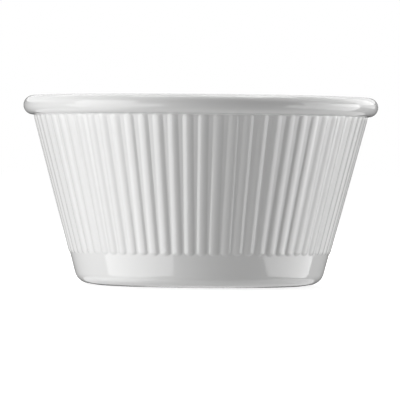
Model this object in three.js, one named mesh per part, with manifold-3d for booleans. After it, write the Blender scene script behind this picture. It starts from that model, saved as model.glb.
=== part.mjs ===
// Sauce dish: a round, tapered, one-piece dish with a full-round rim, a wall of upright ribs and a plain foot.
// Millimetres, +Z up, origin on the table under the middle of the dish, front towards -Y.

import * as THREE from 'three';
import { mergeVertices } from 'three/addons/utils/BufferGeometryUtils.js';
import Module from 'manifold-3d';

// Driving dimensions: overall form
const RIM_DIAMETER = 82.5;
const HEIGHT = 43.8;
const DRAFT_DEG = 15; // lean of the wall from upright, the same inside and outside
const WALL = 2.8; // between the ribs, square to the face
const FLOOR = 2.8; // over the recess underneath

// Driving dimensions: rim
const BEAD_RADIUS = 2.2; // outer half of the full-round rim
const BEAD_OVERHANG = 2.55; // reach of the bead past the wall under it
const NECK_FILLET = 0.35; // hollow where the bead meets the wall

// Driving dimensions: ribs, each the crown of a round rod with ball ends, sunk in the wall
const RIB_COUNT = 70;
const RIB_RADIUS = 2.65;
const RIB_PROUD = 0.22; // height of the crown over the wall
const RIB_NECK_OVERLAP = 0.1; // how far the ribs run up into the hollow under the bead
const FOOT_BAND_HEIGHT = 7.4; // plain band under the ribs

// Driving dimensions: foot and bowl
const BASE_CORNER_RADIUS = 3.4;
const FOOT_INSET = 4.35; // foot ring's edge, in from where the wall would meet the table
const FOOT_RELIEF_DEG = 9; // rise of the underside from the foot ring to the base corner
const FOOT_RING_WIDTH = 3;
const RECESS_DEPTH = 0.9;
const RECESS_FILLET = 0.5;
const BOWL_CORNER_RADIUS = 6;

// Facets: each rib stands in the middle of one flat facet of the wall
const FACETS_AROUND = RIB_COUNT;
const FIRST_EDGE = Math.PI / (2 * FACETS_AROUND); // from the front, so that the dish is as wide as it is deep
const ROD_SIDES = 20;
const BALL_RINGS = 5;
const BEAD_STEPS = 10;
const BASE_CORNER_STEPS = 6;
const BOWL_CORNER_STEPS = 6;
const LIP_STEPS = 4;
const SMALL_FILLET_STEPS = 2;

// Places that follow from the driving dimensions
const draft = THREE.MathUtils.degToRad(DRAFT_DEG);
const along = new THREE.Vector2(Math.sin(draft), Math.cos(draft)); // up the wall, as (radius, height)
const outward = new THREE.Vector2(Math.cos(draft), -Math.sin(draft)); // out of the wall's outer face
const bead = new THREE.Vector2(RIM_DIAMETER / 2 - BEAD_RADIUS, HEIGHT - BEAD_RADIUS);
const neck = new THREE.Vector2(RIM_DIAMETER / 2 - BEAD_OVERHANG, HEIGHT - 2 * BEAD_RADIUS);
const floorTop = RECESS_DEPTH + FLOOR;

// Radius at a height of a cone that lies some depth under the wall's outer face.
function coneRadius(height, depth) {
  return neck.x + (height - neck.y) * Math.tan(draft) - depth / Math.cos(draft);
}

// Point on the wall's outer face, moved up the wall and out of it from the neck.
function fromNeck(upWall, outOfWall) {
  return neck.clone().addScaledVector(along, upWall).addScaledVector(outward, outOfWall);
}

function arc(centre, radius, start, end, steps) {
  const points = [];
  for (let i = 0; i <= steps; i += 1) {
    const angle = start + ((end - start) * i) / steps;
    points.push(new THREE.Vector2(Math.cos(angle), Math.sin(angle)).multiplyScalar(radius).add(centre));
  }
  return points;
}

// Fillet at a corner of an outline, no longer than the edges beside it allow.
function fillet(before, corner, after, radius, steps) {
  const back = before.clone().sub(corner);
  const ahead = after.clone().sub(corner);
  const halfAngle = Math.acos(back.clone().normalize().dot(ahead.clone().normalize())) / 2;
  const reach = Math.min(radius / Math.tan(halfAngle), back.length() / 2, ahead.length() / 2);
  const used = reach * Math.tan(halfAngle);
  const middle = back.clone().normalize().add(ahead.clone().normalize()).normalize();
  const centre = corner.clone().addScaledVector(middle, used / Math.sin(halfAngle));
  const first = corner.clone().addScaledVector(back.normalize(), reach).sub(centre);
  const last = corner.clone().addScaledVector(ahead.normalize(), reach).sub(centre);
  const turn = Math.atan2(first.cross(last), first.dot(last));
  return arc(centre, used, first.angle(), first.angle() + turn, steps);
}

// Underside, from the axis out over the recess and the foot ring and round the base corner.
function undersideOutline() {
  const baseRadius = coneRadius(0, 0);
  const ringOuter = baseRadius - FOOT_INSET;
  const ringInner = ringOuter - FOOT_RING_WIDTH;
  const relief = THREE.MathUtils.degToRad(FOOT_RELIEF_DEG);
  const cornerHeight = FOOT_INSET / (1 / Math.tan(relief) - Math.tan(draft));
  const axis = new THREE.Vector2(0, RECESS_DEPTH);
  const recess = new THREE.Vector2(ringInner - RECESS_DEPTH, RECESS_DEPTH); // sides of the recess at 45 degrees
  const inner = new THREE.Vector2(ringInner, 0);
  const outer = new THREE.Vector2(ringOuter, 0);
  const corner = new THREE.Vector2(coneRadius(cornerHeight, 0), cornerHeight);
  return [
    axis,
    ...fillet(axis, recess, inner, RECESS_FILLET, SMALL_FILLET_STEPS),
    ...fillet(recess, inner, outer, RECESS_FILLET, SMALL_FILLET_STEPS),
    outer,
    ...fillet(outer, corner, neck, BASE_CORNER_RADIUS, BASE_CORNER_STEPS),
  ];
}

// Rim, from the neck fillet round the bead and over the lip to the inner wall.
function rimOutline() {
  const toBead = bead.clone().sub(neck);
  const outOfWall = NECK_FILLET - toBead.dot(outward);
  const upWall = toBead.dot(along) - Math.sqrt((BEAD_RADIUS + NECK_FILLET) ** 2 - outOfWall ** 2);
  const hollow = fromNeck(upWall, NECK_FILLET);
  const facing = bead.clone().sub(hollow).angle();
  const lipRadius = (bead.x - coneRadius(HEIGHT, WALL)) / (1 / Math.cos(draft) - Math.tan(draft));
  const lip = new THREE.Vector2(bead.x, HEIGHT - lipRadius);
  return [
    ...arc(hollow, NECK_FILLET, Math.PI - draft, facing, SMALL_FILLET_STEPS),
    ...arc(bead, BEAD_RADIUS, facing - Math.PI, Math.PI / 2, BEAD_STEPS).slice(1),
    ...arc(lip, lipRadius, Math.PI / 2, Math.PI - draft, LIP_STEPS).slice(1),
  ];
}

// Bowl, from the inner wall round the corner to the middle of the floor.
function bowlOutline() {
  const top = new THREE.Vector2(coneRadius(HEIGHT, WALL), HEIGHT);
  const corner = new THREE.Vector2(coneRadius(floorTop, WALL), floorTop);
  const axis = new THREE.Vector2(0, floorTop);
  return [...fillet(top, corner, axis, BOWL_CORNER_RADIUS, BOWL_CORNER_STEPS), axis];
}

// Outline of (radius, height) turned about +Z.
function turned(outline) {
  return new THREE.LatheGeometry(outline, FACETS_AROUND).rotateX(Math.PI / 2).rotateZ(FIRST_EDGE);
}

// Rod with ball ends, whose crown shows from the foot band to the hollow under the bead.
function ribRod(azimuth) {
  const sunk = RIB_RADIUS - RIB_PROUD;
  const endShows = Math.sqrt(RIB_RADIUS ** 2 - sunk ** 2);
  const tipHigh = RIB_NECK_OVERLAP / Math.cos(draft);
  const tipLow = (FOOT_BAND_HEIGHT - neck.y) / Math.cos(draft);
  const middle = fromNeck((tipHigh + tipLow) / 2, -sunk);
  const length = tipHigh - tipLow - 2 * endShows;
  const geometry = new THREE.CapsuleGeometry(RIB_RADIUS, length, BALL_RINGS, ROD_SIDES);
  return geometry.rotateX(Math.PI / 2 + draft).translate(0, -middle.x, middle.y).rotateZ(azimuth);
}

// Everything inside the middle of the wall's thickness.
function wallCore() {
  const outline = [
    new THREE.Vector2(0, 0),
    new THREE.Vector2(coneRadius(0, WALL / 2), 0),
    new THREE.Vector2(coneRadius(HEIGHT, WALL / 2), HEIGHT),
    new THREE.Vector2(0, HEIGHT),
  ];
  return turned(outline);
}

const wasm = await Module();
wasm.setup();

// Closed solid from a geometry, with its shared vertices merged and its empty triangles dropped.
function solid(geometry) {
  const bare = geometry.clone();
  bare.deleteAttribute('normal');
  bare.deleteAttribute('uv');
  const merged = mergeVertices(bare);
  const corners = merged.index.array;
  const triangles = [];
  for (let i = 0; i < corners.length; i += 3) {
    const [a, b, c] = corners.slice(i, i + 3);
    if (a !== b && b !== c && c !== a) {
      triangles.push(a, b, c);
    }
  }
  const vertProperties = new Float32Array(merged.attributes.position.array);
  const triVerts = new Uint32Array(triangles);
  return new wasm.Manifold(new wasm.Mesh({ numProp: 3, vertProperties, triVerts }));
}

function geometryOf(body) {
  const mesh = body.getMesh();
  const geometry = new THREE.BufferGeometry();
  geometry.setAttribute('position', new THREE.BufferAttribute(mesh.vertProperties, 3));
  geometry.setIndex(new THREE.BufferAttribute(mesh.triVerts, 1));
  geometry.computeVertexNormals();
  return geometry;
}

// The ribs stop in the middle of the wall, so none of them reaches the bowl.
function ribShells() {
  const pitch = (2 * Math.PI) / RIB_COUNT;
  const first = FIRST_EDGE + pitch / 2;
  let rods = solid(ribRod(first));
  for (let i = 1; i < RIB_COUNT; i += 1) {
    rods = rods.add(solid(ribRod(first + pitch * i)));
  }
  return rods.subtract(solid(wallCore()));
}

const moulding = solid(turned([...undersideOutline(), ...rimOutline(), ...bowlOutline()])).add(ribShells());
const glossWhite = new THREE.MeshStandardMaterial({ color: 0xf3f3f1, roughness: 0.12, metalness: 0 });

const dish = new THREE.Mesh(geometryOf(moulding), glossWhite);
dish.name = 'dish';

const sauceDish = new THREE.Group();
sauceDish.add(dish);

export default sauceDish;
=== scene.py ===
# %% [markdown]
# # A ribbed sauce dish
#
# The dish is one white moulding: a full-round rim, a tapered wall with fine upright ribs, a plain foot band
# and a shallow recess underneath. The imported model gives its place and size. This script turns the same
# outline again with a much finer surface, finishes it in glossy white, and sets it in a small studio.

import math

import bpy
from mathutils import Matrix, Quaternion, Vector


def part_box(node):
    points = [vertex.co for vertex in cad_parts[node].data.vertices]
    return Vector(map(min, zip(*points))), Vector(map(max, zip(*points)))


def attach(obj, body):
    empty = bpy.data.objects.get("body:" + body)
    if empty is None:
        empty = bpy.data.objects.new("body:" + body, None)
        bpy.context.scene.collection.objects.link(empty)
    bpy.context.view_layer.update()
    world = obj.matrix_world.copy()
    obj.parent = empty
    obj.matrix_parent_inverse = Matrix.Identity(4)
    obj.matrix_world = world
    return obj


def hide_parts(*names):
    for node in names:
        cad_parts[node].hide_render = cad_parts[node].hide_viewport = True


MM = 0.001

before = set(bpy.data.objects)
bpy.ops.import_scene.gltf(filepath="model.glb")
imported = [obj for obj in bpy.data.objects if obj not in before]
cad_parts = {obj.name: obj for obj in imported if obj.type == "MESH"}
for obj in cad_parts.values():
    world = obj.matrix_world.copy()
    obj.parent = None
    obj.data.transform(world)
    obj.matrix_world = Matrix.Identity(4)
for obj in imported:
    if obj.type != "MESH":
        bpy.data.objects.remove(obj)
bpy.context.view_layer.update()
_, dish_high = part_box("dish")
rim_radius = dish_high.x
height = dish_high.z
print(f"dish {2 * rim_radius / MM:.1f} mm across and {height / MM:.1f} mm high")

# %% [markdown]
# ## Node maths in plain Python
#
# A node tree reads better as an expression than as a list of links. This class holds one output socket, and
# arithmetic on it adds Math nodes. Its `node` method adds any other node: first the node's settings, then
# the values or links of its input sockets. A wire without a socket is where a tree starts.

# %% A socket that does arithmetic
class Wire:
    def __init__(self, tree, socket=None):
        self.tree = tree
        self.socket = socket

    def node(self, kind, settings=None, inputs=None, output=0):
        made = self.tree.nodes.new(kind)
        for name, value in (settings or {}).items():
            setattr(made, name, value)
        for name, value in (inputs or {}).items():
            if isinstance(value, Wire):
                self.tree.links.new(value.socket, made.inputs[name])
            else:
                made.inputs[name].default_value = value
        return Wire(self.tree, made.outputs[output])

    def math(self, operation, *values):
        return self.node("ShaderNodeMath", {"operation": operation}, dict(enumerate(values)))

    def __add__(self, other):
        return self.math("ADD", self, other)

    __radd__ = __add__

    def __sub__(self, other):
        return self.math("SUBTRACT", self, other)

    def __rsub__(self, other):
        return self.math("SUBTRACT", other, self)

    def __mul__(self, other):
        return self.math("MULTIPLY", self, other)

    __rmul__ = __mul__

    def __truediv__(self, other):
        return self.math("DIVIDE", self, other)

    def __rtruediv__(self, other):
        return self.math("DIVIDE", other, self)

    def __pow__(self, other):
        return self.math("POWER", self, other)

    def __rpow__(self, other):
        return self.math("POWER", other, self)

    def __abs__(self):
        return self.math("ABSOLUTE", self)


print("socket maths ready")

# %% [markdown]
# ## The outline of the dish
#
# A moulded dish is round, so its shape is one outline turned about the axis. The outline has few corners,
# and each is rounded by an arc, as the mould is. It runs from the middle of the underside round the foot,
# up the wall, over the rim and down the bowl to the middle of the floor. The places come from the packed
# dish's own width and height, and the small sizes are those of the moulding. A point of the outline is a
# distance from the axis and a height.

# %% Sizes of the moulding, in metres
WALL_LEAN = math.radians(15)
WALL = 2.8 * MM
BEAD_RADIUS = 2.2 * MM
BEAD_OVERHANG = 2.55 * MM

up_wall = Vector((math.sin(WALL_LEAN), math.cos(WALL_LEAN)))
out_of_wall = Vector((math.cos(WALL_LEAN), -math.sin(WALL_LEAN)))
bead = Vector((rim_radius - BEAD_RADIUS, height - BEAD_RADIUS))
neck = Vector((rim_radius - BEAD_OVERHANG, height - 2 * BEAD_RADIUS))


def cone_radius(z, depth=0.0):
    """Radius at height z of the wall's outer face, or of a face some depth under it."""
    return neck.x + (z - neck.y) * math.tan(WALL_LEAN) - depth / math.cos(WALL_LEAN)


print(f"wall {cone_radius(0) / MM:.2f} mm from the axis at the table, {neck.x / MM:.2f} mm at the neck")

# %% [markdown]
# Three helpers draw the parts of an outline. Each takes its number of steps, so that the points can be close
# together where the dish bends sharply and far apart where it is flat.

# %% Arcs, fillets and straight runs of an outline
def arc(centre, radius, start, end, steps):
    """Points on an arc, both ends included."""
    turns = [start + (end - start) * i / steps for i in range(steps + 1)]
    return [centre + radius * Vector((math.cos(t), math.sin(t))) for t in turns]


def fillet(before, corner, after, radius, steps):
    """Points of the arc that rounds a corner."""
    back = (before - corner).normalized()
    ahead = (after - corner).normalized()
    half = back.angle(ahead) / 2
    centre = corner + (back + ahead).normalized() * radius / math.sin(half)
    first = corner + back * radius / math.tan(half) - centre
    last = corner + ahead * radius / math.tan(half) - centre
    start = math.atan2(first.y, first.x)
    turn = math.atan2(first.x * last.y - first.y * last.x, first.dot(last))
    return arc(centre, radius, start, start + turn, steps)


def between(start, end, steps):
    """Points inside a straight run, without its ends."""
    return [start.lerp(end, i / steps) for i in range(1, steps)]


quarter = arc(Vector((0, 0)), radius=1.0, start=0.0, end=math.pi / 2, steps=4)
print(f"a quarter arc of {len(quarter)} points ends at {quarter[-1].x:.2f}, {quarter[-1].y:.2f}")

# %% [markdown]
# The dish stands on a narrow ring. Inside it the underside is recessed, so that it doesn't rock on a table
# that isn't quite flat, and outside it the underside rises a little to the rounded corner of the foot.

# %% The underside
FOOT_INSET = 4.35 * MM
FOOT_RELIEF = math.radians(9)
FOOT_RING_WIDTH = 3 * MM
FOOT_RING_BLEND = 8 * MM
RECESS_DEPTH = 0.9 * MM
RECESS_FILLET = 0.5 * MM
BASE_CORNER_RADIUS = 3.4 * MM


def underside():
    """Points from the axis, over the recess and the ring, to the top of the foot's corner."""
    ring_outer = cone_radius(0) - FOOT_INSET
    ring_inner = ring_outer - FOOT_RING_WIDTH
    corner_z = FOOT_INSET / (1 / math.tan(FOOT_RELIEF) - math.tan(WALL_LEAN))
    axis = Vector((0, RECESS_DEPTH))
    recess = Vector((ring_inner - RECESS_DEPTH, RECESS_DEPTH))
    inner = Vector((ring_inner, 0))
    outer = Vector((ring_outer, 0))
    corner = Vector((cone_radius(corner_z), corner_z))
    return [
        axis,
        *between(axis, recess, steps=3),
        *fillet(axis, recess, inner, RECESS_FILLET, steps=4),
        *fillet(recess, inner, outer, RECESS_FILLET, steps=4),
        *fillet(inner, outer, corner, FOOT_RING_BLEND, steps=3),
        *fillet(outer, corner, neck, BASE_CORNER_RADIUS, steps=10),
    ]


under_points = underside()
print(f"underside of {len(under_points)} points")

# %% [markdown]
# The rim is a bead that stands out past the wall. A small hollow joins it to the wall underneath, and on the
# inside it rolls over into the bowl without an edge. The steps are finest on the crest, because the camera
# looks along it, and there even a small facet shows.

# %% The rim
NECK_FILLET = 0.35 * MM
CREST_FROM = math.radians(40)


def rim():
    """Points from the hollow under the bead, over the crest, to the inner face of the wall."""
    to_bead = bead - neck
    aside = NECK_FILLET - to_bead.dot(out_of_wall)
    below = to_bead.dot(up_wall) - math.sqrt((BEAD_RADIUS + NECK_FILLET) ** 2 - aside ** 2)
    hollow = neck + below * up_wall + NECK_FILLET * out_of_wall
    facing = math.atan2(bead.y - hollow.y, bead.x - hollow.x)
    lip_radius = (bead.x - cone_radius(height, WALL)) / (1 / math.cos(WALL_LEAN) - math.tan(WALL_LEAN))
    lip = Vector((bead.x, height - lip_radius))
    return [
        *arc(hollow, NECK_FILLET, math.pi - WALL_LEAN, facing, steps=4),
        *arc(bead, BEAD_RADIUS, facing - math.pi, CREST_FROM, steps=15)[1:],
        *arc(bead, BEAD_RADIUS, CREST_FROM, math.pi / 2, steps=10)[1:],
        *arc(lip, lip_radius, math.pi / 2, math.pi - WALL_LEAN, steps=7)[1:],
    ]


rim_points = rim()
print(f"rim of {len(rim_points)} points")

# %% [markdown]
# The bowl follows the wall at an even thickness and meets its flat floor in a large, easily cleaned corner.

# %% The bowl
FLOOR = 2.8 * MM
BOWL_CORNER_RADIUS = 6 * MM


def bowl():
    """Points from the foot of the bowl's wall, round the corner, to the middle of its floor."""
    floor_z = RECESS_DEPTH + FLOOR
    top = Vector((cone_radius(height, WALL), height))
    corner = Vector((cone_radius(floor_z, WALL), floor_z))
    axis = Vector((0, floor_z))
    rounded = fillet(top, corner, axis, BOWL_CORNER_RADIUS, steps=8)
    return [*rounded, *between(rounded[-1], axis, steps=3), axis]


bowl_points = bowl()
print(f"bowl of {len(bowl_points)} points")

# %% [markdown]
# The ribs start over the foot band and run up into the hollow under the bead. The rows of points on the wall
# are close together where a rib ends and far apart along its straight run, so that the triangles go where
# the surface bends.

# %% The wall
FOOT_BAND_HEIGHT = 7.4 * MM
RIB_NECK_OVERLAP = 0.1 * MM
RIB_END_SPAN = 1.4 * MM
RIB_END_MARGIN = RIB_END_SPAN / 4
RIB_END_STEPS = 11
RIB_RUN_STEPS = 4


def on_wall(z):
    return Vector((cone_radius(z), z))


def wall_rows(high):
    """Points up the wall, from a little under the ribs to just short of a height."""
    low = FOOT_BAND_HEIGHT - RIB_END_MARGIN
    run_low = on_wall(low + RIB_END_SPAN)
    run_high = on_wall(high - RIB_END_SPAN)
    return [
        on_wall(low),
        *between(on_wall(low), run_low, RIB_END_STEPS),
        run_low,
        *between(run_low, run_high, RIB_RUN_STEPS),
        run_high,
        *between(run_high, on_wall(high), RIB_END_STEPS),
    ]


wall_points = wall_rows(rim_points[0].y)
print(f"wall of {len(wall_points)} points")

# %% The whole outline
outline = [*under_points, *wall_points, *rim_points, *bowl_points]
first_rib_row = len(under_points)
last_rib_row = first_rib_row + len(wall_points) - 1
print(f"outline of {len(outline)} points, ribs on rows {first_rib_row} to {last_rib_row}")

# %% [markdown]
# ## Turning the outline and raising the ribs
#
# The ribs are the crowns of round rods with ball ends, sunk in the wall. Seventy of them could be modelled
# one by one and joined to the wall, but they follow a rule, so a Geometry Nodes tree makes the whole
# surface: a grid with one row for each point of the outline is rolled up about the axis, and each point on
# the wall is lifted by how far the nearest rod stands out there. All ribs change together by a named input.
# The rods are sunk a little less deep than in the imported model, which makes up for the softer roots, and
# they stand at the same places round the dish.

# %% Inputs of the tree
RIB_COUNT = 70
RIB_COLUMNS = 14
RIB_RADIUS = 2.65 * MM
RIB_PROUD = 0.25 * MM
RIB_ROOT = 0.12 * MM
END_STEEPNESS = 1.35
CROWDING = 0.6
FIRST_EDGE = math.pi / (2 * RIB_COUNT)

moulding_inputs = {
    "Rib Count": ("NodeSocketInt", RIB_COUNT),
    "Columns Per Rib": ("NodeSocketInt", RIB_COLUMNS),
    "Rib Radius": ("NodeSocketFloat", RIB_RADIUS),
    "Rib Proud": ("NodeSocketFloat", RIB_PROUD),
    "Rib Root": ("NodeSocketFloat", RIB_ROOT),
    "End Steepness": ("NodeSocketFloat", END_STEEPNESS),
    "Crowding": ("NodeSocketFloat", CROWDING),
    "Rib Low": ("NodeSocketFloat", FOOT_BAND_HEIGHT),
    "Rib High": ("NodeSocketFloat", neck.y + RIB_NECK_OVERLAP),
    "First Edge": ("NodeSocketFloat", FIRST_EDGE),
    "Wall Lean": ("NodeSocketFloat", WALL_LEAN),
    "Finish": ("NodeSocketMaterial", None),
}
print(f"{RIB_COUNT} ribs, {math.tau * neck.x / RIB_COUNT / MM:.2f} mm apart at the neck")

# %% [markdown]
# At a point of the wall, the rod's surface is found from the point's distance beside the rib's middle line
# and, near the rib's ends, beyond the centre of the ball. The ends fall off a little more steeply than a
# ball does, because the photograph shows them short and blunt. A smooth maximum of that height and zero
# leaves the soft root that a polished mould has.

# %% Height of a rib over the wall
def rib_lift(start, size, share, radius, z):
    """Height of the nearest rib at a point, whose place across the rib goes from -0.5 to 0.5."""
    beside = share * radius * math.tau / size["Rib Count"]
    sunk = size["Rib Radius"] - size["Rib Proud"]
    end_shows = start.math("SQRT", size["Rib Radius"] ** 2 - sunk ** 2) / size["End Steepness"]
    slope = start.math("COSINE", size["Wall Lean"])
    half_run = (size["Rib High"] - size["Rib Low"]) / slope / 2 - end_shows
    along = abs(z - (size["Rib High"] + size["Rib Low"]) / 2) / slope
    beyond = start.math("MAXIMUM", along - half_run, 0.0) * size["End Steepness"]
    inside = size["Rib Radius"] ** 2 - beside ** 2 - beyond ** 2
    crown = start.math("SQRT", start.math("MAXIMUM", inside, 0.0)) - sunk
    return start.math("SMOOTH_MAX", crown, 0.0, size["Rib Root"])


print(f"ribs {RIB_PROUD / MM:.2f} mm proud on rods of {RIB_RADIUS / MM:.2f} mm radius")

# %% [markdown]
# Most of a rib is a gentle curve, and its sharpest bend is in the two roots beside it. Evenly spaced columns
# would spend the triangles on the crown, so each column is moved along a sine wave towards the nearer root.
# The wave is nothing at the middle of a rib and halfway to the next one, so the ribs stay where they are,
# and the columns stay in order while the crowding is under one.

# %% Columns that crowd at the roots of the ribs
ROOT_SHARE = 0.34
WAVES = 2 * math.tau


def crowded(start, size, across):
    """Place round the dish and place across the rib, from -0.5 to 0.5, of an evenly spaced column."""
    even = start.math("FRACT", across * size["Rib Count"]) - 0.5
    root = WAVES * ROOT_SHARE
    bent = start.math("SINE", WAVES * abs(even) - root) + math.sin(root)
    shift = start.math("SIGN", even) * bent * size["Crowding"] / -WAVES
    return across + shift / size["Rib Count"], even + shift


print(f"columns crowd {ROOT_SHARE:.0%} of a rib's width from its middle")

# %% [markdown]
# The tree takes the outline, the sizes and the finish, and gives the moulding. Its wires are kept by the
# names of the inputs, so that the expressions above read like the rule of the shape.

# %% The tree's inputs and output
def tree_with_inputs():
    """A tree with only its inputs and output, and a wire from each input by name."""
    tree = bpy.data.node_groups.new("ribbed_moulding", "GeometryNodeTree")
    tree.interface.new_socket("Outline", in_out="INPUT", socket_type="NodeSocketGeometry")
    for name, (kind, _) in moulding_inputs.items():
        tree.interface.new_socket(name, in_out="INPUT", socket_type=kind)
    tree.interface.new_socket("Moulding", in_out="OUTPUT", socket_type="NodeSocketGeometry")
    given = tree.nodes.new("NodeGroupInput")
    return tree, {socket.name: Wire(tree, socket) for socket in given.outputs if socket.name}


moulding_tree, moulding_size = tree_with_inputs()
print(f"tree with {len(moulding_size)} inputs")

# %% [markdown]
# The tree reads the outline row by row. The grid is one unit wide and one unit high, so a point's place on
# it says how far round the dish it goes and which point of the outline it takes.

# %% A grid with one row for each point of the outline
def split(start, vector, axis):
    return start.node("ShaderNodeSeparateXYZ", inputs={0: vector}, output=axis)


def flat_grid(start, size, rows):
    columns = size["Rib Count"] * size["Columns Per Rib"]
    inputs = {"Size X": 1.0, "Size Y": 1.0, "Vertices X": columns + 1, "Vertices Y": rows}
    return start.node("GeometryNodeMeshGrid", inputs=inputs)


def of_row(start, size, row, kind, value):
    """A value at the point of the outline that a row of the grid takes."""
    settings = {"data_type": kind, "domain": "POINT"}
    inputs = {"Geometry": size["Outline"], "Value": value, "Index": row}
    return start.node("GeometryNodeSampleIndex", settings, inputs)


print(f"grid of {len(outline)} rows and {RIB_COUNT * RIB_COLUMNS} columns")

# %% The grid rolled up about the axis
RIB_MARK = "ribbed"


def rolled_up(start, size, rows):
    """Place on the dish of a point of the grid, lifted square to the wall where there is a rib."""
    place = start.node("GeometryNodeInputPosition")
    across, share = crowded(start, size, split(start, place, "X") + 0.5)
    row = start.math("ROUND", (split(start, place, "Y") + 0.5) * (rows - 1))
    point = of_row(start, size, row, "FLOAT_VECTOR", place)
    radius = split(start, point, "X")
    z = split(start, point, "Z")
    mark = start.node("GeometryNodeInputNamedAttribute", {"data_type": "FLOAT"}, {"Name": RIB_MARK})
    lift = rib_lift(start, size, share, radius, z) * of_row(start, size, row, "FLOAT", mark)

    turn = across * math.tau + size["First Edge"]
    lifted_radius = radius + lift * start.math("COSINE", size["Wall Lean"])
    lifted_z = z - lift * start.math("SINE", size["Wall Lean"])
    x = lifted_radius * start.math("SINE", turn)
    y = 0.0 - lifted_radius * start.math("COSINE", turn)
    return start.node("ShaderNodeCombineXYZ", inputs={"X": x, "Y": y, "Z": lifted_z})


print(f"first column {math.degrees(FIRST_EDGE):.2f} degrees from the front")

# %% [markdown]
# Where the grid's two sides meet, and at the axis, points fall together. They are merged, which closes the
# surface, and the tree ends with a plain mesh in the dish's finish.

# %% The whole tree
CLOSING_DISTANCE = 0.002 * MM


def fill_tree(tree, size):
    start = Wire(tree)
    counted = {"Geometry": size["Outline"]}
    rows = start.node("GeometryNodeAttributeDomainSize", {"component": "MESH"}, counted)
    shape = flat_grid(start, size, rows)
    for kind, inputs in (
        ("GeometryNodeSetPosition", {"Position": rolled_up(start, size, rows)}),
        ("GeometryNodeMergeByDistance", {"Distance": CLOSING_DISTANCE}),
        ("GeometryNodeSetShadeSmooth", {"Shade Smooth": True}),
        ("GeometryNodeRealizeInstances", {}),
        ("GeometryNodeSetMaterial", {"Material": size["Finish"]}),
    ):
        shape = start.node(kind, inputs={"Geometry": shape, **inputs})
    tree.links.new(shape.socket, tree.nodes.new("NodeGroupOutput").inputs[0])


fill_tree(moulding_tree, moulding_size)
print(f"tree of {len(moulding_tree.nodes)} nodes")

# %% [markdown]
# ## The glossy white finish
#
# Pressed melamine comes out of a polished mould with a hard, clear gloss. It isn't perfectly even: the
# white clouds by about two percent, the gloss has a faint orange peel, and the ring that the dish stands on
# and the floor of the bowl lose a little polish in use. One Principled shader takes all of that, and the
# patterns are laid out on the dish's own coordinates, so they stay with it when it moves.

# %% Patterns of the finish
CLOUDS_PER_METRE = 60.0
CLOUD_DETAIL = 3.0


def noise(start, place, per_metre, detail):
    inputs = {"Vector": place, "Scale": per_metre, "Detail": detail}
    return start.node("ShaderNodeTexNoise", inputs=inputs, output="Fac")


def rising(start, value, low, high):
    """From 0 at low to 1 at high, easing in and out; low may be above high."""
    inputs = {"Value": value, "From Min": low, "From Max": high}
    return start.node("ShaderNodeMapRange", {"interpolation_type": "SMOOTHSTEP"}, inputs)


print(f"clouds about {1 / CLOUDS_PER_METRE / MM:.0f} mm apart")

# %% The clouded white
WHITE_LOW = (0.85, 0.85, 0.845, 1.0)
WHITE_HIGH = (0.875, 0.875, 0.87, 1.0)

# Sockets of a Mix node that is set to colours, whose names aren't unique.
MIX_FIRST_COLOUR = 6
MIX_SECOND_COLOUR = 7
MIXED_COLOUR = 2


def clouded_white(start, place):
    clouds = noise(start, place, CLOUDS_PER_METRE, CLOUD_DETAIL)
    inputs = {"Factor": clouds, MIX_FIRST_COLOUR: WHITE_LOW, MIX_SECOND_COLOUR: WHITE_HIGH}
    return start.node("ShaderNodeMix", {"data_type": "RGBA"}, inputs, output=MIXED_COLOUR)


print(f"white between {WHITE_LOW[:3]} and {WHITE_HIGH[:3]}")

# %% [markdown]
# Wear changes the roughness alone: a worn gloss is as white as a new one. The floor of the bowl has fine
# scratches, which are stretched noise in two directions, and only its highest crests count as a scratch.

# %% Scratches
SCRATCHES_PER_METRE = 900.0
SCRATCH_DETAIL = 2.0
SCRATCH_STRETCH = (0.03, 1, 1)
SCRATCH_FROM = 0.62
SCRATCH_FULL = 0.7
SCRATCH_TURNS = (0.4, 1.9)


def scratches(start, place, turn):
    inputs = {"Vector": place, "Rotation": (0, 0, turn), "Scale": SCRATCH_STRETCH}
    stretched = start.node("ShaderNodeMapping", inputs=inputs)
    crests = noise(start, stretched, SCRATCHES_PER_METRE, SCRATCH_DETAIL)
    return rising(start, crests, SCRATCH_FROM, SCRATCH_FULL)


print(f"scratches about {1 / SCRATCHES_PER_METRE / MM:.1f} mm apart")

# %% Polish and wear
POLISH_PER_METRE = 110.0
POLISH_DETAIL = 3.0
POLISHED = 0.05
POLISH_SPREAD = 0.05
WEAR_PER_METRE = 300.0
WEAR_DETAIL = 4.0
WORN_HEIGHT = 0.3 * MM
WEAR_DULLING = 0.3
BOWL_FLOOR_RADIUS = 23 * MM
BOWL_FLOOR_WHOLE = 0.8 * BOWL_FLOOR_RADIUS
IN_BOWL_FROM = 2 * MM
IN_BOWL_WHOLE = 3 * MM
SCRATCH_DULLING = 0.12


def worn_gloss(start, place):
    """Roughness at a place on the dish."""
    x, y, z = (split(start, place, axis) for axis in "XYZ")
    from_axis = start.math("SQRT", x * x + y * y)
    foot_wear = rising(start, z, WORN_HEIGHT, 0.0) * noise(start, place, WEAR_PER_METRE, WEAR_DETAIL)
    on_floor = rising(start, from_axis, BOWL_FLOOR_RADIUS, BOWL_FLOOR_WHOLE)
    in_bowl = rising(start, z, IN_BOWL_FROM, IN_BOWL_WHOLE)
    cuts = start.math("MAXIMUM", *(scratches(start, place, turn) for turn in SCRATCH_TURNS))
    polish = POLISHED + POLISH_SPREAD * noise(start, place, POLISH_PER_METRE, POLISH_DETAIL)
    return polish + WEAR_DULLING * foot_wear + SCRATCH_DULLING * on_floor * in_bowl * cuts


print(f"roughness from {POLISHED} to {POLISHED + POLISH_SPREAD} where the dish isn't worn")

# %% [markdown]
# The orange peel goes in as a bump of two thousandths of a millimetre, because it shows only in the edges of
# reflections.

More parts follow.
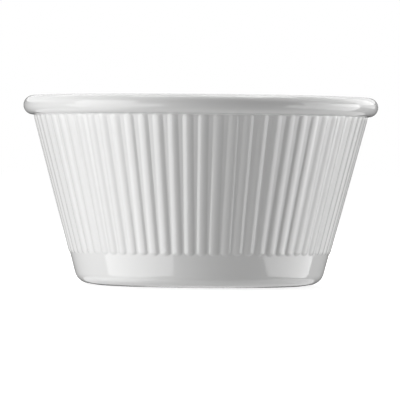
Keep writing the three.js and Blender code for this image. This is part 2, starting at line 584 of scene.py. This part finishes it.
# %% The finish
PEEL_PER_METRE = 420.0
PEEL_DETAIL = 1.0
PEEL_HEIGHT = 0.002 * MM
REFRACTION = 1.5


def gloss_white():
    material = bpy.data.materials.new("gloss_white_melamine")
    material.use_nodes = True
    tree = material.node_tree
    shader = tree.nodes["Principled BSDF"]
    start = Wire(tree)
    place = start.node("ShaderNodeTexCoord", output="Object")
    white = clouded_white(start, place)
    roughness = worn_gloss(start, place)
    peel = noise(start, place, PEEL_PER_METRE, PEEL_DETAIL)
    bump = start.node("ShaderNodeBump", inputs={"Strength": 1.0, "Distance": PEEL_HEIGHT, "Height": peel})
    for socket, value in (("Base Color", white), ("Roughness", roughness), ("Normal", bump)):
        tree.links.new(value.socket, shader.inputs[socket])
    shader.inputs["IOR"].default_value = REFRACTION
    return material


glaze = gloss_white()
print(f"finish of {len(glaze.node_tree.nodes)} nodes")

# %% [markdown]
# ## Making the dish
#
# The outline goes in as a chain of points, with a number on each that says how much of the rib's height it
# takes: all of it on the wall, and less and less in the hollow under the bead, where the ribs run out.

# %% The outline as a mesh
RUN_OUT = (1.0, 0.7, 0.4, 0.15)


def outline_mesh():
    mesh = bpy.data.meshes.new("dish_outline")
    points = [(p.x, 0, p.y) for p in outline]
    mesh.from_pydata(points, [(i, i + 1) for i in range(len(points) - 1)], [])
    ribbed = mesh.attributes.new(RIB_MARK, "FLOAT", "POINT")
    for row in range(first_rib_row, last_rib_row + 1):
        ribbed.data[row].value = 1.0
    for step, share in enumerate(RUN_OUT, start=1):
        ribbed.data[last_rib_row + step].value = share
    return mesh


print(f"ribs run out over {len(RUN_OUT)} rows of the hollow")

# %% [markdown]
# The tree's inputs are set on the modifier by the identifiers of their sockets. The evaluated result is kept
# as a plain mesh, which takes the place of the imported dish.

# %% The dish
def moulded_dish():
    dish = bpy.data.objects.new("moulded_dish", outline_mesh())
    bpy.context.scene.collection.objects.link(dish)
    shape = dish.modifiers.new("shape", "NODES")
    shape.node_group = moulding_tree
    values = {name: value for name, (_, value) in moulding_inputs.items()}
    values["Finish"] = glaze
    for socket in moulding_tree.interface.items_tree:
        if socket.in_out == "INPUT" and socket.name in values:
            shape[socket.identifier] = values[socket.name]
    evaluated = dish.evaluated_get(bpy.context.evaluated_depsgraph_get())
    mesh = bpy.data.meshes.new_from_object(evaluated)
    dish.modifiers.remove(shape)
    dish.data = mesh
    return dish


dish = moulded_dish()
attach(dish, "root")
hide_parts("dish")
dish.data.calc_loop_triangles()
print(f"moulded dish of {len(dish.data.loop_triangles)} triangles")

# %% [markdown]
# ## The camera
#
# The camera and the lamps are placed by their turn round the dish and aimed at a point.

# %% Placing and aiming
def around(turn, distance, z):
    """Place at a distance from the axis, turned from the front towards +X."""
    return Vector((distance * math.sin(turn), -distance * math.cos(turn), z))


def aimed(place, target, lean=0.0):
    """Rotation that points an object's -Z at a target, leaning about the line of sight."""
    return (target - place).to_track_quat("-Z", "Y") @ Quaternion((0, 0, 1), lean)


def set_in_scene(item, place, rotation):
    item.location = place
    item.rotation_mode = "QUATERNION"
    item.rotation_quaternion = rotation
    bpy.context.scene.collection.objects.link(item)


right_of_dish = around(math.pi / 2, distance=1.0, z=0.0)
print(f"a quarter turn from the front goes to x {right_of_dish.x:.1f} m")

# %% [markdown]
# The photograph looks at the dish almost level, from about a metre away through a long lens, and it leans by
# half a degree. The camera looks at a point on the axis, so its turn round the dish decides which rib faces
# it.

# %% The camera
CAMERA_DISTANCE = 0.94
CAMERA_HEIGHT = 26.43 * MM
CAMERA_TURN = math.radians(-2.16)
CAMERA_LEAN = math.radians(0.516)
AIM = Vector((0, 0, 19.83 * MM))
PICTURE_WIDTH = 93.1 * MM
SENSOR_WIDTH = 36.0

lens = bpy.data.cameras.new("camera")
lens.sensor_width = SENSOR_WIDTH
lens.lens = SENSOR_WIDTH * CAMERA_DISTANCE / PICTURE_WIDTH
camera = bpy.data.objects.new("camera", lens)
camera_place = around(CAMERA_TURN, CAMERA_DISTANCE, CAMERA_HEIGHT)
set_in_scene(camera, camera_place, aimed(camera_place, AIM, CAMERA_LEAN))
bpy.context.scene.camera = camera
print(f"lens {lens.lens:.0f} mm")

# %% [markdown]
# ## The studio
#
# A white gloss shows its studio more than itself, so the softboxes are placed by what the dish reflects. A
# lamp's power is given by its radiance, the brightness that a mirror would show, so that a box can change
# its size without changing how its reflection looks.

# %% Softboxes
def softbox_power(width, height, radiance):
    return radiance * math.pi * width * height


def softbox(name, place, target, width, height, radiance):
    lamp = bpy.data.lights.new(name, "AREA")
    lamp.shape = "RECTANGLE"
    lamp.size = width
    lamp.size_y = height
    lamp.energy = softbox_power(width, height, radiance)
    box = bpy.data.objects.new(name, lamp)
    box.visible_camera = False
    set_in_scene(box, place, aimed(place, target))
    print(f"{name} of {width:.2f} by {height:.2f} m")


print(f"a box of one square metre takes {softbox_power(1.0, 1.0, 1.0):.2f} W for each unit of radiance")

# %% [markdown]
# The wall leans out over the table and looks down, so the boxes at the sides reach below the level of the
# table. Each side has a large low box with smaller ones over it, because the reflections on the wall and the
# foot come further to the front than those on the rim. The left has a dim one underneath as well, for the
# corner of the foot. A box is given by the turns of its two edges, because each edge draws an edge of a
# reflection.

# %% Softboxes at the sides
SIDE_DISTANCE = 0.6


def side_softbox(name, edges, heights, radiance):
    """Upright box between two turns round the dish, in degrees, and two heights."""
    first, last = (math.radians(edge) for edge in edges)
    low, high = heights
    place = around((first + last) / 2, SIDE_DISTANCE, (low + high) / 2)
    width = 2 * SIDE_DISTANCE * math.tan((last - first) / 2)
    softbox(name, place, Vector((0, 0, place.z)), width, high - low, radiance)


side_softbox("left_low_softbox", edges=(-98.5, -27), heights=(-0.46, 0.0), radiance=2.35)
side_softbox("left_under_softbox", edges=(-140, -55), heights=(-1.1, -0.48), radiance=0.8)
side_softbox("left_high_softbox", edges=(-88, -43.5), heights=(0.0, 0.36), radiance=3.45)
side_softbox("right_low_softbox", edges=(54.5, 121), heights=(-0.33, 0.0), radiance=2.7)
side_softbox("right_high_softbox", edges=(66, 90), heights=(0.0, 0.28), radiance=2.5)
side_softbox("right_rear_softbox", edges=(90, 120), heights=(0.0, 0.16), radiance=4.0)
side_softbox("right_back_softbox", edges=(120, 150), heights=(0.0, 0.6), radiance=0.8)

# %% [markdown]
# Three more hang over the dish and light the top of the rim and the bowl. The one over the middle and the
# one over the back nearly meet, because a wide gap between them would show as a dark band on the rim.

# %% Softboxes overhead
OVER_DISTANCE = 0.9


def over_softbox(name, turn, rise, size, radiance):
    """Box over the dish, by its turn round the dish and its rise over the table, in degrees."""
    level = OVER_DISTANCE * math.cos(math.radians(rise))
    place = around(math.radians(turn), level, OVER_DISTANCE * math.sin(math.radians(rise)))
    softbox(name, place, Vector((0, 0, 0)), *size, radiance)


over_softbox("back_over_softbox", turn=180, rise=58, size=(0.87, 0.7), radiance=1.2)
over_softbox("right_over_softbox", turn=135, rise=70, size=(0.38, 0.38), radiance=2.5)
over_softbox("top_over_softbox", turn=180, rise=89, size=(0.73, 0.31), radiance=2.95)

# %% [markdown]
# ## The screen, the table and the backdrop
#
# What stands round the dish isn't part of it, so it goes on the stage. Its materials are built from nothing,
# because they only glow or scatter light.

# %% Things on the stage
def emptied(material):
    """The start of a material's or world's tree, with nothing in it."""
    material.use_nodes = True
    material.node_tree.nodes.clear()
    return Wire(material.node_tree)


def surface_of(material, shader):
    """Makes a shader the whole surface of a material or world, whose tree it is in."""
    kind = "ShaderNodeOutputWorld" if isinstance(material, bpy.types.World) else "ShaderNodeOutputMaterial"
    shader.tree.links.new(shader.socket, shader.tree.nodes.new(kind).inputs["Surface"])


def on_stage(name, points, faces, material):
    mesh = bpy.data.meshes.new(name)
    mesh.from_pydata(points, [], faces)
    mesh.materials.append(material)
    thing = bpy.data.objects.new(name, mesh)
    bpy.context.scene.collection.objects.link(thing)
    return thing


print(f"{len(bpy.data.lights)} softboxes light the stage")

# %% [markdown]
# A dark grey screen stands round the dish, and only reflections see it. It gives the softboxes something to
# stand out against. It is tall in front, where the middle of the dish looks, and low behind, where it draws
# a thin dark line round the ends of the rim. The white backdrop shows over and under it.

# %% Lower and upper edge of the screen
SCREEN_SIDE_LOW = -1.2
SCREEN_FRONT_DROP = 2.8
SCREEN_BACK_LIFT = 0.78
SCREEN_BACK_TOP = 0.24
SCREEN_FRONT_RISE = 2.2


def screen_low(turn):
    ahead = math.cos(turn)
    return SCREEN_SIDE_LOW - ahead * (SCREEN_FRONT_DROP if ahead > 0 else SCREEN_BACK_LIFT)


def screen_top(turn):
    return SCREEN_BACK_TOP + SCREEN_FRONT_RISE * max(0.0, math.cos(turn))


print(f"screen from {screen_low(0):.2f} to {screen_top(0):.2f} m in front")
print(f"screen from {screen_low(math.pi):.2f} to {screen_top(math.pi):.2f} m behind")

# %% The screen round the dish
SCREEN_RADIUS = 1.5
SCREEN_GREY = (0.05, 0.05, 0.05, 1.0)
SCREEN_SIDES = 48

screen_grey = bpy.data.materials.new("screen_grey")
surface_of(screen_grey, emptied(screen_grey).node("ShaderNodeEmission", inputs={"Color": SCREEN_GREY}))
turns = [math.tau * i / SCREEN_SIDES for i in range(SCREEN_SIDES)]
edges = [
    *(around(turn, SCREEN_RADIUS, screen_low(turn)) for turn in turns),
    *(around(turn, SCREEN_RADIUS, screen_top(turn)) for turn in turns),
]
nexts = [*range(1, SCREEN_SIDES), 0]
panels = [(i, n, SCREEN_SIDES + n, SCREEN_SIDES + i) for i, n in enumerate(nexts)]
screen = on_stage("grey_screen", edges, panels, screen_grey)
screen.visible_camera = False
screen.visible_diffuse = False
screen.visible_shadow = False
print(f"screen of {len(panels)} panels")

# %% [markdown]
# The photograph's background is plain white. The table is a pale floor that takes the dish's shadow, and
# what the camera sees of it is lifted to white away from the dish. It could be lit to white by more lamps,
# but they would light the dish as well.

# %% The table's surface
TABLE_WHITE = (0.8, 0.8, 0.8, 1.0)
LIFT_NEAR = 0.63
FADE_FROM = 0.08
FADE_TO = 0.4


def seen_as_white(start):
    """1 for rays that show the background: straight to the camera, mirrored or through glass."""
    kinds = ("Is Camera Ray", "Is Glossy Ray", "Is Transmission Ray")
    camera_ray, glossy_ray, clear_ray = (start.node("ShaderNodeLightPath", output=kind) for kind in kinds)
    return start.math("MINIMUM", camera_ray + glossy_ray + clear_ray, 1.0)


def white_table():
    material = bpy.data.materials.new("white_table")
    start = emptied(material)
    place = start.node("ShaderNodeTexCoord", output="Object")
    from_dish = start.node("ShaderNodeVectorMath", {"operation": "LENGTH"}, {0: place}, output="Value")
    lift = LIFT_NEAR + (1 - LIFT_NEAR) * rising(start, from_dish, FADE_FROM, FADE_TO)
    lifted = start.node("ShaderNodeEmission", inputs={"Strength": seen_as_white(start) * lift})
    matt = start.node("ShaderNodeBsdfDiffuse", inputs={"Color": TABLE_WHITE})
    surface_of(material, start.node("ShaderNodeAddShader", inputs={0: matt, 1: lifted}))
    return material


print(f"table white from {FADE_TO / MM:.0f} mm out")

# %% [markdown]
# The dish in the photograph doesn't mirror the table, so reflections and bounced light pass through the
# table, and so does the light of the low softboxes.

# %% The table
TABLE_SIZE = 60.0

half = TABLE_SIZE / 2
table_corners = [(-half, -half, 0), (half, -half, 0), (half, half, 0), (-half, half, 0)]
table = on_stage("white_floor", table_corners, [(0, 1, 2, 3)], white_table())
table.visible_glossy = False
table.visible_diffuse = False
table.visible_shadow = False
print(f"table {TABLE_SIZE:.0f} m wide")

# %% [markdown]
# The world is the backdrop. The camera and reflections see it white, and as a light it gives only a faint
# fill, so it doesn't wash out the softboxes.

# %% The world
BACKDROP_WHITE = (1, 1, 1, 1)
FILL = 0.01

world = bpy.data.worlds.new("studio")
start = emptied(world)
backdrop = {"Color": BACKDROP_WHITE, "Strength": FILL + (1 - FILL) * seen_as_white(start)}
surface_of(world, start.node("ShaderNodeBackground", inputs=backdrop))
bpy.context.scene.world = world
bpy.context.scene.view_settings.view_transform = "Standard"
print(f"fill light of {FILL}")
